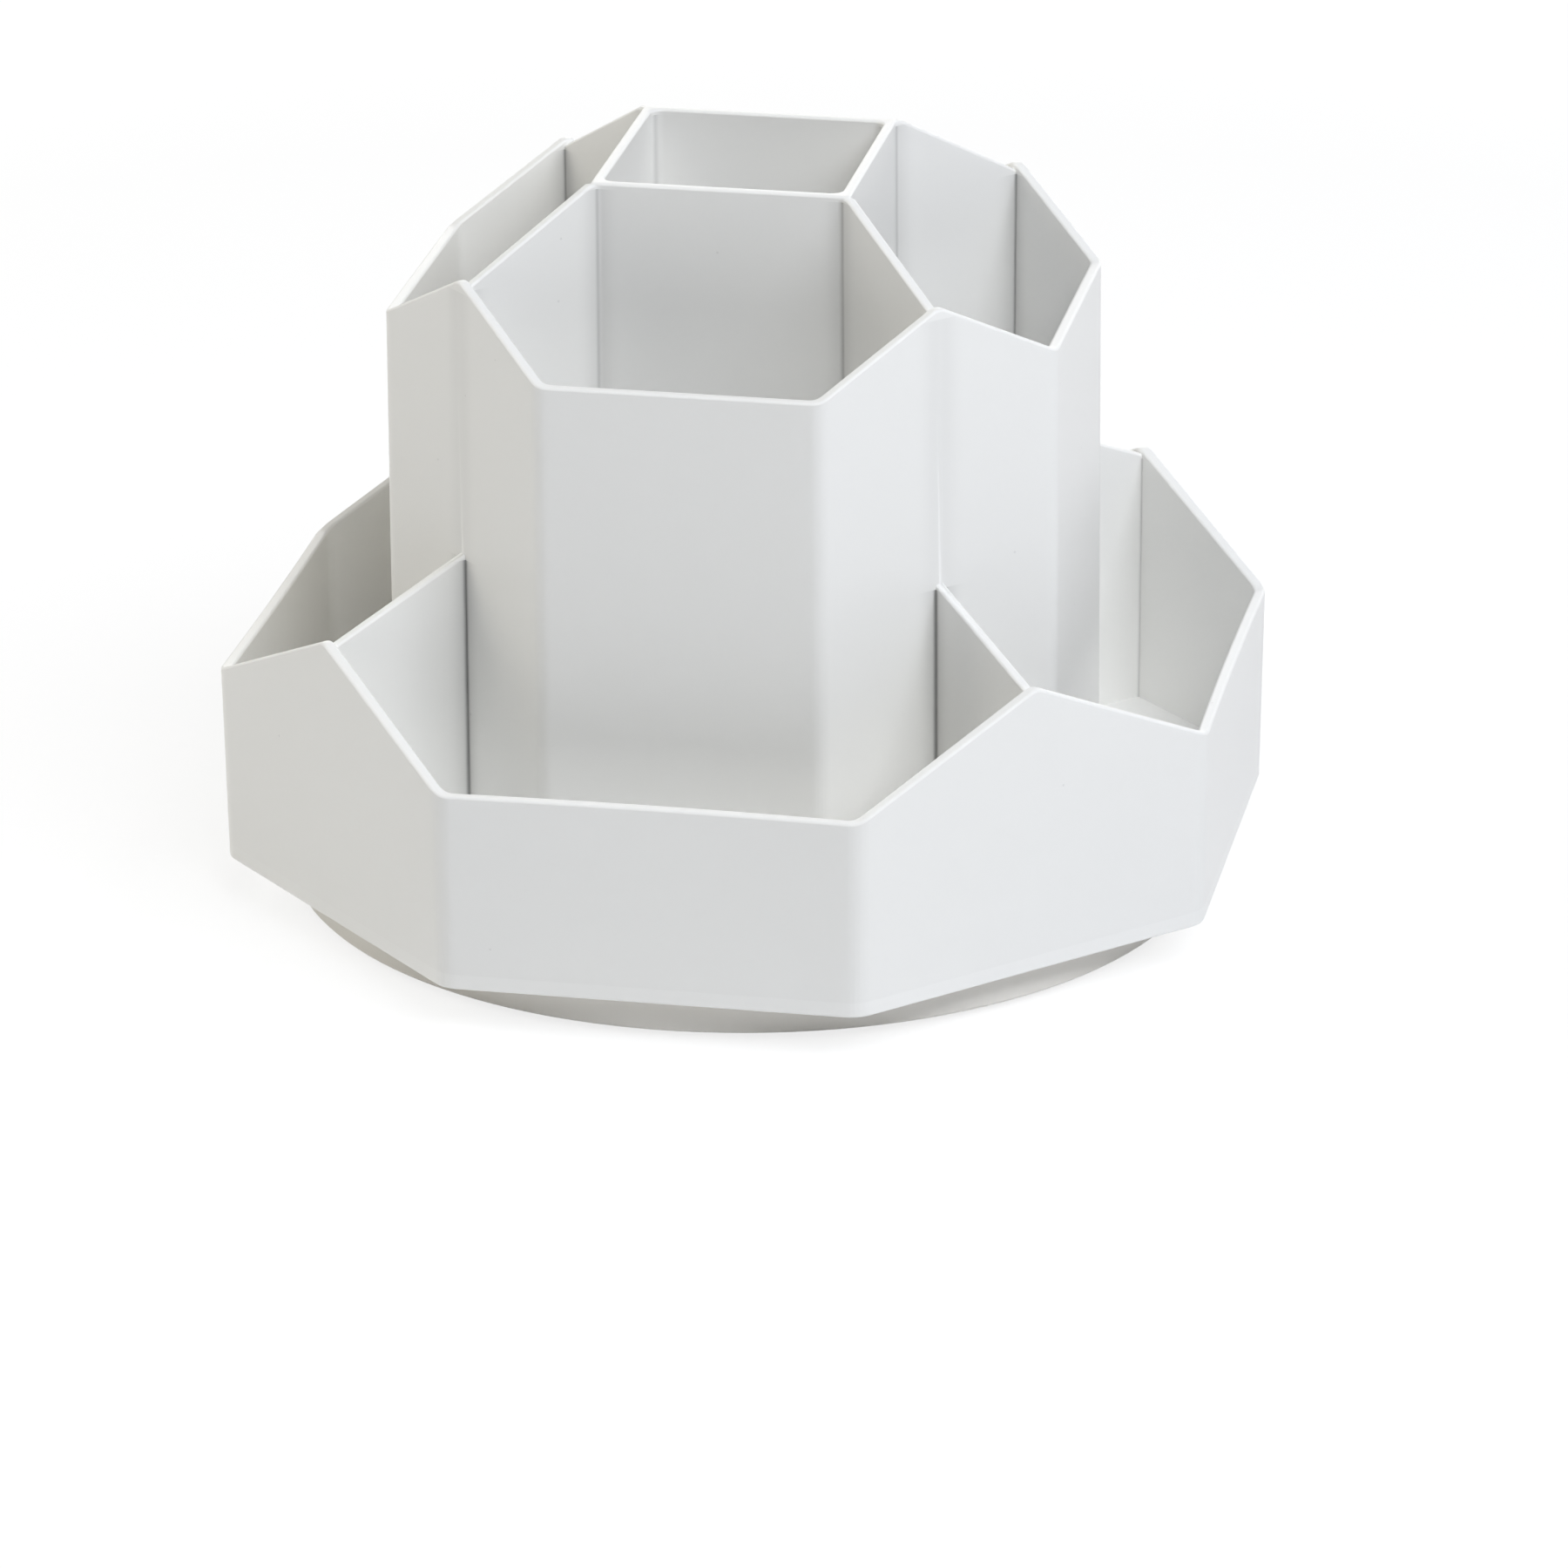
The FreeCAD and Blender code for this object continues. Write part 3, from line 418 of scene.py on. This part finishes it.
# %% Shader group for an even but not perfect surface
SPECK_FREE_SHARE = 0.82


def noise(tree, place, scale, detail):
    """A noise texture's value, at a scale in features for each metre."""
    node = add_node(tree, "ShaderNodeTexNoise", Vector=place, Scale=scale, Detail=detail)
    return node.outputs["Fac"]


def scaled_color(tree, color, tone):
    """A colour made lighter or darker by a factor."""
    node = tree.nodes.new("ShaderNodeVectorMath")
    node.operation = "SCALE"
    feed(tree, color, node.inputs["Vector"])
    feed(tree, tone, node.inputs["Scale"])
    return node.outputs["Vector"]


def speck_mask(tree, place, scale, size):
    """1 on a few scattered specks, else 0."""
    cells = tree.nodes.new("ShaderNodeTexVoronoi")
    feed(tree, place, cells.inputs["Vector"])
    feed(tree, scale, cells.inputs["Scale"])
    cell_share = add_node(tree, "ShaderNodeSeparateColor", Color=cells.outputs["Color"])
    chosen = sum_node(tree, "GREATER_THAN", cell_share.outputs["Red"], SPECK_FREE_SHARE)
    near = sum_node(tree, "LESS_THAN", cells.outputs["Distance"], size)
    return sum_node(tree, "MULTIPLY", chosen, near)


def moulded_surface_tree():
    """Tone, roughness and height that drift and are specked as on a moulded surface."""
    tree, given, result = start_tree("moulded_surface", "ShaderNodeTree", [
        ("Color", "NodeSocketColor", (0.8, 0.8, 0.8, 1)),
        ("Tone Drift", "NodeSocketFloat", 0.01),
        ("Drift Scale", "NodeSocketFloat", 30.0),
        ("Roughness", "NodeSocketFloat", 0.4),
        ("Roughness Drift", "NodeSocketFloat", 0.05),
        ("Grain Scale", "NodeSocketFloat", 2500.0),
        ("Speck Scale", "NodeSocketFloat", 160.0),
        ("Speck Size", "NodeSocketFloat", 0.035),
        ("Speck Tone", "NodeSocketFloat", 0.9),
    ], [("Color", "NodeSocketColor"), ("Roughness", "NodeSocketFloat"), ("Height", "NodeSocketFloat")])
    get = given.outputs
    place = tree.nodes.new("ShaderNodeTexCoord").outputs["Object"]
    drift = sum_node(tree, "SUBTRACT", noise(tree, place, get["Drift Scale"], 2.0), 0.5)
    swing = sum_node(tree, "MULTIPLY", drift, 2.0)
    speck = speck_mask(tree, place, get["Speck Scale"], get["Speck Size"])
    speck_loss = sum_node(tree, "MULTIPLY", speck, sum_node(tree, "SUBTRACT", 1.0, get["Speck Tone"]))
    tone = sum_node(tree, "ADD", 1.0, sum_node(tree, "MULTIPLY", swing, get["Tone Drift"]))
    tone = sum_node(tree, "SUBTRACT", tone, speck_loss)
    rough_swing = sum_node(tree, "MULTIPLY", swing, get["Roughness Drift"])
    rough = sum_node(tree, "ADD", get["Roughness"], rough_swing)
    feed(tree, scaled_color(tree, get["Color"], tone), result.inputs["Color"])
    feed(tree, rough, result.inputs["Roughness"])
    feed(tree, noise(tree, place, get["Grain Scale"], 1.0), result.inputs["Height"])
    return tree


moulded_surface = moulded_surface_tree()
print("surface group nodes:", len(moulded_surface.nodes))

# %% [markdown]
# Where a divider meets a wall the moulding has a sharp inner corner, and the photograph shows
# it as a hair of shade, darker than the light alone makes it. This group paints that shade into
# the colour. It could be cut as a groove. It is under half a millimetre wide, so a mask does it,
# from each point's distance to the line of the corner, with a wider, fainter halo of painted
# shade round the hair. The group is one such line, repeated over both diagonals, and the
# plastic uses it once for each kind of corner.

# %% Shader group for painted shade in an inner corner


def painted_corner_shade_tree():
    """Painted shade along one upright corner line, given off and out along the nearest diagonal."""
    tree, given, result = start_tree("painted_corner_shade", "ShaderNodeTree", [
        ("Off Diagonal", "NodeSocketFloat", 0.85 * MM),
        ("Out At Foot", "NodeSocketFloat", 56.0 * MM),
        ("Foot Height", "NodeSocketFloat", TRAY_FLOOR),
        ("Lean", "NodeSocketFloat", 0.0),
        ("Top Height", "NodeSocketFloat", 100.0 * MM),
        ("Width", "NodeSocketFloat", 0.3 * MM),
        ("Depth", "NodeSocketFloat", 0.5),
        ("Halo Width", "NodeSocketFloat", 2.2 * MM),
        ("Halo Depth", "NodeSocketFloat", 0.12),
    ], [("Shade", "NodeSocketFloat")])
    get = given.outputs
    place = tree.nodes.new("ShaderNodeTexCoord").outputs["Object"]
    x, y, z = add_node(tree, "ShaderNodeSeparateXYZ", Vector=place).outputs
    aside, out = diagonal_places(tree, x, y)
    over_foot = sum_node(tree, "SUBTRACT", z, get["Foot Height"])
    line_out = sum_node(tree, "ADD", get["Out At Foot"], sum_node(tree, "MULTIPLY", over_foot, get["Lean"]))
    aside_gap = sum_node(tree, "SUBTRACT", aside, get["Off Diagonal"])
    out_gap = sum_node(tree, "SUBTRACT", out, line_out)
    squares = [sum_node(tree, "MULTIPLY", gap, gap) for gap in (aside_gap, out_gap)]
    distance = sum_node(tree, "SQRT", sum_node(tree, "ADD", *squares))
    # Painted shade: a dark hair at the corner line, and a faint wide halo round it.
    hair = sum_node(tree, "MULTIPLY", share_falloff(tree, distance, get["Width"]), get["Depth"])
    halo = sum_node(tree, "MULTIPLY", share_falloff(tree, distance, get["Halo Width"]), get["Halo Depth"])
    shade = sum_node(tree, "ADD", hair, halo)
    below_top = sum_node(tree, "LESS_THAN", z, get["Top Height"])
    feed(tree, sum_node(tree, "MULTIPLY", shade, below_top), result.inputs["Shade"])
    return tree


painted_corner_shade = painted_corner_shade_tree()
print("inner corner group nodes:", len(painted_corner_shade.nodes))

# %% [markdown]
# The rims and the lower edge of the moulding read as fine white lines in the photograph. They
# are rounded, and this group paints them as a highlight, a little paler than the flat walls.
# The part's own normals say where an edge turns up or down, and its height keeps the floors
# of the cells out of it. The skirt below the floor gets a trace of painted light too, since it
# has no wall behind it. A bevel mask from the render engine would need rays, and this doesn't.

# %% Shader group for painted light on the edges


def painted_edge_light_tree():
    """How much painted highlight lightens a point, on the rims above a height and the edge below another,
    plus painted light on the skirt.
    """
    tree, given, result = start_tree("painted_edge_light", "ShaderNodeTree", [
        ("Turn", "NodeSocketFloat", 0.35),
        ("Above", "NodeSocketFloat", 30 * MM),
        ("Below", "NodeSocketFloat", TRAY_FOOT + 1.2 * MM),
        ("Lift", "NodeSocketFloat", 0.06),
        ("Skirt Height", "NodeSocketFloat", TRAY_FOOT + 2.6 * MM),
        ("Skirt Lift", "NodeSocketFloat", 0.025),
    ], [("Tone", "NodeSocketFloat")])
    get = given.outputs
    place = tree.nodes.new("ShaderNodeTexCoord").outputs
    turned = add_node(tree, "ShaderNodeSeparateXYZ", Vector=place["Normal"]).outputs["Z"]
    height = add_node(tree, "ShaderNodeSeparateXYZ", Vector=place["Object"]).outputs["Z"]
    share = sum_node(tree, "DIVIDE", sum_node(tree, "ABSOLUTE", turned), get["Turn"], clamp=True)
    zone = sum_node(tree, "ADD", sum_node(tree, "GREATER_THAN", height, get["Above"]),
                    sum_node(tree, "LESS_THAN", height, get["Below"]))
    # Painted highlight on the rims and the lower edge, then painted light on the skirt.
    lift = sum_node(tree, "MULTIPLY", sum_node(tree, "MULTIPLY", share, zone), get["Lift"])
    in_skirt = sum_node(tree, "LESS_THAN", height, get["Skirt Height"])
    skirt = sum_node(tree, "MULTIPLY", in_skirt, get["Skirt Lift"])
    feed(tree, sum_node(tree, "ADD", sum_node(tree, "ADD", 1.0, lift), skirt), result.inputs["Tone"])
    return tree


painted_edge_light = painted_edge_light_tree()
print("pale edge group nodes:", len(painted_edge_light.nodes))

# %% [markdown]
# A material here is a Principled shader whose colour, roughness and fine bump come from the
# groups above. A value that is the same all over a piece, such as its metalness, is set on
# the shader's own socket, because the export of the model reads it only there.

# %% Helpers for materials


def start_material(name):
    """A material with its tree, and its Principled shader."""
    material = bpy.data.materials.new(name)
    material.use_nodes = True
    return material, material.node_tree, material.node_tree.nodes["Principled BSDF"]


def place_group(tree, group, **values):
    """A group in a material, with its inputs set by name, underscores standing for spaces."""
    node = tree.nodes.new("ShaderNodeGroup")
    node.node_tree = group
    for name, value in values.items():
        feed(tree, value, node.inputs[name.replace("_", " ")])
    return node


def bump_from(tree, height, depth, strength):
    """A Bump node's normal from a height between 0 and 1."""
    bump = add_node(tree, "ShaderNodeBump", Height=height, Distance=depth, Strength=strength)
    return bump.outputs["Normal"]


def surface_material(name, color, bump_depth, bump_strength, shader_values, corners=(), **surface):
    """A material whose colour, roughness and fine bump come from the moulded surface group, with painted
    corner shade and painted edge light in the colour when corner lines are given.
    """
    material, tree, shader = start_material(name)
    group = place_group(tree, moulded_surface, Color=(*color, 1), **surface)
    shaded = group.outputs["Color"]
    # Painted shade: each corner line darkens the colour along an inner corner.
    for corner_shade_sizes in corners:
        shade = place_group(tree, painted_corner_shade, **corner_shade_sizes).outputs["Shade"]
        shaded = scaled_color(tree, shaded, sum_node(tree, "SUBTRACT", 1.0, shade))
    # Painted highlight: the rims, the lower edge and the skirt are made paler in the colour.
    if corners:
        shaded = scaled_color(tree, shaded, place_group(tree, painted_edge_light).outputs["Tone"])
    feed(tree, shaded, shader.inputs["Base Color"])
    feed(tree, group.outputs["Roughness"], shader.inputs["Roughness"])
    feed(tree, bump_from(tree, group.outputs["Height"], bump_depth, bump_strength), shader.inputs["Normal"])
    for socket, value in shader_values.items():
        shader.inputs[socket].default_value = value
    return material


print("material helpers ready")

# %% [markdown]
# The visible plastic is one kind, an opaque off-white with a soft sheen: a diffuse colour with
# a weak, fairly rough gloss. The base's is a trace warmer. The light grey that the photograph
# shows is mostly shade, since the rims that face up are near white, so the colour itself is
# light. The list has the lines of painted corner shade, whose lean is that of the walls, which
# the mould needs to come free: inwards going up outside a shell, and outwards inside it. The
# moulding's colour also carries a painted highlight on its rims, its lower edge and its skirt.

# %% Plastics
BODY_COLOR = (0.95, 0.945, 0.92)
BASE_COLOR = (0.95, 0.92, 0.86)
CAGE_COLOR = (0.83, 0.83, 0.79)
DRAFT = 0.0044
# Lines of painted shade in the moulding's inner corners.
BODY_CORNER_SHADES = [
    # divider and the square cell's outer corner
    {"Out_At_Foot": 29.9 * MM, "Lean": -DRAFT, "Top_Height": 123.9 * MM, "Depth": 0.2},
    # divider and the tower's inner wall
    {"Out_At_Foot": 53.36 * MM, "Lean": DRAFT, "Top_Height": 111.2 * MM, "Depth": 0.35},
    # divider and the tower's outer wall
    {"Out_At_Foot": 55.99 * MM, "Lean": -DRAFT, "Top_Height": 65.6 * MM, "Width": 0.45 * MM},
    # divider and the tray's inner wall
    {"Out_At_Foot": 80.5 * MM, "Lean": DRAFT, "Top_Height": 55.2 * MM, "Depth": 0.2,
     "Halo_Depth": 0.0},
    # inner corner of the square cell, on the diagonal itself
    {"Out_At_Foot": 26.2 * MM, "Lean": DRAFT, "Top_Height": 124.0 * MM, "Off_Diagonal": 0.0,
     "Width": 0.5 * MM, "Depth": 0.25, "Halo_Depth": 0.0},
]
body_plastic = surface_material(
    "body_plastic", BODY_COLOR, bump_depth=0.004 * MM, bump_strength=0.12,
    shader_values={"Specular IOR Level": 0.35}, corners=BODY_CORNER_SHADES,
    Roughness=0.38, Tone_Drift=0.008)
base_plastic = surface_material(
    "base_plastic", BASE_COLOR, bump_depth=0.004 * MM, bump_strength=0.12,
    shader_values={"Specular IOR Level": 0.35}, Roughness=0.42, Tone_Drift=0.01)
cage_plastic = surface_material(
    "cage_plastic", CAGE_COLOR, bump_depth=0.006 * MM, bump_strength=0.15,
    shader_values={"Specular IOR Level": 0.4}, Roughness=0.5, Tone_Drift=0.02)
print("plastics:", [material.name for material in (body_plastic, base_plastic, cage_plastic)])

# %% [markdown]
# The balls are polished steel. The screw and washer are plated steel with a coarser look,
# whose tone and gloss drift over a few millimetres. The feet are black rubber, dull and with
# a deeper grain. They are hidden in the photograph, and show when the part is turned over.

# %% Steel and rubber
BALL_COLOR = (0.68, 0.68, 0.69)
WASHER_COLOR = (0.6, 0.61, 0.63)
SCREW_COLOR = (0.58, 0.59, 0.61)
RUBBER_COLOR = (0.035, 0.035, 0.037)
ball_steel = surface_material(
    "ball_steel", BALL_COLOR, bump_depth=0.002 * MM, bump_strength=0.05,
    shader_values={"Metallic": 1.0}, Roughness=0.09, Roughness_Drift=0.03,
    Tone_Drift=0.02, Drift_Scale=300.0)
washer_steel = surface_material(
    "washer_steel", WASHER_COLOR, bump_depth=0.008 * MM, bump_strength=0.3,
    shader_values={"Metallic": 1.0}, Roughness=0.32, Roughness_Drift=0.08,
    Tone_Drift=0.06, Drift_Scale=400.0)
screw_steel = surface_material(
    "screw_steel", SCREW_COLOR, bump_depth=0.006 * MM, bump_strength=0.25,
    shader_values={"Metallic": 1.0}, Roughness=0.28, Roughness_Drift=0.08,
    Tone_Drift=0.05, Drift_Scale=500.0)
pad_rubber = surface_material(
    "pad_rubber", RUBBER_COLOR, bump_depth=0.03 * MM, bump_strength=0.5,
    shader_values={"Specular IOR Level": 0.3}, Roughness=0.85, Tone_Drift=0.15,
    Drift_Scale=300.0, Grain_Scale=3500.0)
print("materials:", [material.name for material in bpy.data.materials])

# %% [markdown]
# Now the cut copy goes through the tree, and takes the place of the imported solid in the
# render. Smooth shading with sharp edges kept lets the small rounded rims catch the light as
# one soft highlight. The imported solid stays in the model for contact.

# %% Grow the moulding
moulding_data = bpy.data.meshes.new("organizer_moulding")
moulding_mesh.to_mesh(moulding_data)
moulding_mesh.free()
organizer = new_piece("organizer_moulding", moulding_data)
grow(organizer, mould_warp, {"Material": body_plastic})
smooth_faces(organizer)
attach(organizer, "organizer")
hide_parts("organizer_body")
print("moulding faces:", len(organizer.data.polygons))

# %% [markdown]
# The base, the bearing's balls and cage, the washer, the screw and the feet are already the
# right shape as packed, so they only need their finishes. Names that share a start share one.

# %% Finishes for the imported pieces
FINISHES = {
    "base_disc": base_plastic, "ball_cage": cage_plastic, "bearing_ball": ball_steel,
    "pivot_washer": washer_steel, "pivot_screw": screw_steel, "foot_pad": pad_rubber,
}


def finish_for(name):
    """The finish whose key starts the node's name, or the moulding's."""
    for key, material in FINISHES.items():
        if name.startswith(key):
            return material
    return body_plastic


for name, node in nodes.items():
    for slot in node.material_slots:
        slot.material = finish_for(name)
print("packed pieces finished:", len(nodes))

# %% [markdown]
# The photograph's ground is plain white with a trace of shadow. A lit white sheet comes out
# light grey, and more light would burn out the object. So rays that light the object meet a
# plain pale sheet, and the camera's own rays, and those mirrored in the metal, meet a darker
# sheet with a glow added, which come to white together. The sheet keeps the soft shadow. The
# lamps fade away from the object, so there the glow makes up for them.

# %% Floor's material
FLOOR_WHITE = 0.92
FLOOR_ROUGHNESS = 0.9
SHADOW_WHITE = 0.3
GLOW = 0.79
GLOW_GROWS_FROM = 0.4
GLOW_GROWS_OVER = 0.8


def grey(level):
    """A neutral colour of a level."""
    return level, level, level, 1


def seen_rays(tree):
    """1 for rays that show the ground, from the camera or by way of metal, else 0."""
    path = tree.nodes.new("ShaderNodeLightPath").outputs
    mirrored = sum_node(tree, "ADD", path["Is Glossy Ray"], path["Is Transmission Ray"])
    return sum_node(tree, "ADD", path["Is Camera Ray"], mirrored, clamp=True)


def joined_shader(tree, kind, first, second):
    """A Mix Shader or an Add Shader, with two shader nodes in its last two inputs."""
    node = tree.nodes.new(kind)
    tree.links.new(first.outputs[0], node.inputs[-2])
    tree.links.new(second.outputs[0], node.inputs[-1])
    return node


def far_glow(tree):
    """The glow's strength, which grows to 1 away from the object, where the lamps don't reach."""
    place = tree.nodes.new("ShaderNodeTexCoord").outputs["Object"]
    length = tree.nodes.new("ShaderNodeVectorMath")
    length.operation = "LENGTH"
    tree.links.new(place, length.inputs[0])
    beyond = sum_node(tree, "SUBTRACT", length.outputs["Value"], GLOW_GROWS_FROM)
    share = sum_node(tree, "DIVIDE", beyond, GLOW_GROWS_OVER, clamp=True)
    return sum_node(tree, "ADD", GLOW, sum_node(tree, "MULTIPLY", share, 1.0 - GLOW))


def floor_material():
    """Pale floor that the camera sees as white, and that keeps the object's shadow."""
    material, tree, shader = start_material("floor_white")
    shader.inputs["Base Color"].default_value = grey(FLOOR_WHITE)
    shader.inputs["Roughness"].default_value = FLOOR_ROUGHNESS
    shader.inputs["Specular IOR Level"].default_value = 0.0
    sheet = add_node(tree, "ShaderNodeBsdfDiffuse", Color=grey(SHADOW_WHITE))
    glow = add_node(tree, "ShaderNodeEmission", Color=grey(1), Strength=far_glow(tree))
    shown = joined_shader(tree, "ShaderNodeAddShader", sheet, glow)
    mix = joined_shader(tree, "ShaderNodeMixShader", shader, shown)
    feed(tree, seen_rays(tree), mix.inputs["Fac"])
    tree.links.new(mix.outputs[0], tree.nodes["Material Output"].inputs["Surface"])
    return material


floor_white = floor_material()
print("floor's material nodes:", len(floor_white.node_tree.nodes))

# %% [markdown]
# The floor is one level face at the foot pads' height. It is three metres each way from the
# middle, so that its far edge stays out of the picture. It isn't part of the object.

# %% Floor
FLOOR_HALF = 3.0


def level_sheet(name, half, height):
    """One square face, level, facing up."""
    mesh = bpy.data.meshes.new(name)
    corners = [(-half, -half, height), (half, -half, height), (half, half, height), (-half, half, height)]
    mesh.from_pydata(corners, [], [(0, 1, 2, 3)])
    return new_piece(name, mesh)


floor = level_sheet("floor", FLOOR_HALF, cad_low.z)
floor.data.materials.append(floor_white)
print("floor at", round(cad_low.z / MM, 2), "mm")

# %% [markdown]
# The light is that of a white tent: wide soft lamps all round, large enough to leave no hard
# shadow. The main one is at the front right, high enough to reach into the cells. The next
# fill the shade from the left and the right, and a low one behind lights the back rims. The
# powers come from a fit of each lamp's shades to the photograph's. Each lamp is given by
# where it stands, its height, its power in watts and its near-white colour. The world is
# white only for the rays that show the ground, so it adds no light of its own.

# %% Studio light
LAMP_WIDTH = 1.2
LAMP_DISTANCE = 1.4
LAMP_AIM = Vector((0, 0, 60 * MM))
LAMPS = [
    # name, degrees round from the right (270 is the front), degrees up, height, watts, colour
    ("front_right", 315, 48, 0.7, 14.8, (0.93, 0.957, 1.0)),
    ("left", 180, 38, 0.7, 6.4, (1.0, 0.976, 0.915)),
    ("left_low", 180, 12, 0.6, 2.7, (1.0, 0.97, 0.87)),
    ("right", 0, 38, 0.7, 3.2, (0.86, 0.89, 1.0)),
    ("back_low", 90, 12, 0.6, 4.7, (1.0, 0.994, 0.96)),
]


def soft_lamp(name, azimuth, elevation, height, power, color):
    """A wide area lamp that faces the object."""
    data = bpy.data.lights.new(name, "AREA")
    data.shape = "RECTANGLE"
    data.size = LAMP_WIDTH
    data.size_y = height
    data.energy = power
    data.color = color
    azimuth, elevation = math.radians(azimuth), math.radians(elevation)
    toward = Vector((math.cos(azimuth) * math.cos(elevation), math.sin(azimuth) * math.cos(elevation),
                     math.sin(elevation)))
    lamp = bpy.data.objects.new(name, data)
    lamp.location = LAMP_AIM + toward * LAMP_DISTANCE
    lamp.rotation_euler = toward.to_track_quat("Z", "Y").to_euler()
    scene.collection.objects.link(lamp)
    return data.energy


total_power = sum(soft_lamp(*lamp) for lamp in LAMPS)
world = bpy.data.worlds.new("studio")
scene.world = world
world.use_nodes = True
background = world.node_tree.nodes["Background"]
background.inputs["Color"].default_value = grey(1)
feed(world.node_tree, seen_rays(world.node_tree), background.inputs["Strength"])
scene.view_settings.view_transform = "Standard"
print("lamps:", len(LAMPS), "total watts:", round(total_power, 1))
